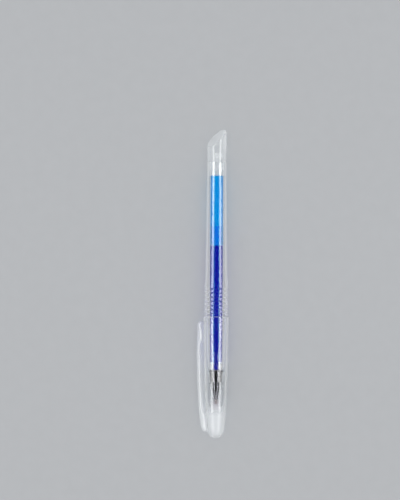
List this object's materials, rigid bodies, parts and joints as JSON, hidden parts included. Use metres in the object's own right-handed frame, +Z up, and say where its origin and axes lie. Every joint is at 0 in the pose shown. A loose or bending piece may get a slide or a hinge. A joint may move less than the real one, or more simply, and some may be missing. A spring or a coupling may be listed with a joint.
{
  "type": "fabric marking pen",
  "caption": "Capped gel marking pen for fabric: clear tapered barrel with grip rings, blue refill, milky cap with pocket clip and slant-cut end plug, lying on its side.",
  "frame": {"origin": "middle of the footprint on the surface the pen lies on", "axes": "+Z up, +Y along the pen towards the end plug, the capped point towards -Y, the pocket clip towards -X"},
  "size_m": [0.0158, 0.1507, 0.0126],
  "materials": {
    "clear_plastic": "clear, polished",
    "milky_plastic": "translucent, satin",
    "refill_plastic": "translucent",
    "plated_metal": "polished",
    "point_metal": "turned",
    "ball_metal": "ground",
    "blue_ink": "wet",
    "blue_grease": "wet, translucent",
    "soft_seal": "matte"
  },
  "bodies": {
    "barrel": {"barrel": "clear_plastic", "nose_cone": "plated_metal"},
    "cap": {"cap": "milky_plastic", "inner_cap": "milky_plastic", "tip_seal": "soft_seal"},
    "clip": {"pocket_clip": "milky_plastic"},
    "end_plug": {"end_plug": "milky_plastic"},
    "refill": {"refill_tube": "refill_plastic", "tip_holder": "refill_plastic", "writing_point": "point_metal", "ink_column": "blue_ink"},
    "follower": {"follower_grease": "blue_grease", "follower_float": "refill_plastic"},
    "ball": {"ball": "ball_metal"}
  },
  "joints": [
    {"name": "cap_pull", "type": "slide", "parent": "barrel", "child": "cap", "axis": [0, -0.9998, 0.0181], "range_m": [0, 0.05]},
    {"name": "clip_flex", "type": "hinge", "parent": "cap", "child": "clip", "pos_m": [-0.00182, -0.07215, 0.0055], "axis": [-0.4617, 0.016, 0.8869], "range_deg": [0, 4], "stiffness_Nm_per_rad": 0.3},
    {"name": "end_plug_pull", "type": "slide", "parent": "barrel", "child": "end_plug", "axis": [0, 0.9998, -0.0181], "range_m": [0, 0.13]},
    {"name": "refill_withdraw", "type": "slide", "parent": "barrel", "child": "refill", "axis": [0, 0.9998, -0.0181], "range_m": [0, 0.12]},
    {"name": "follower_travel", "type": "slide", "parent": "refill", "child": "follower", "axis": [0, -0.9998, 0.0181], "range_m": [0, 0.05], "deforming": ["ink_column"]},
    {"name": "ball_roll", "type": "hinge", "parent": "refill", "child": "ball", "pos_m": [0.00164, -0.05827, 0.00705], "axis": [1, 0, 0], "continuous": true}
  ],
  "couplings": [
    {"joint": "refill_withdraw", "follows": "end_plug_pull", "ratio": 0.92}
  ]
}
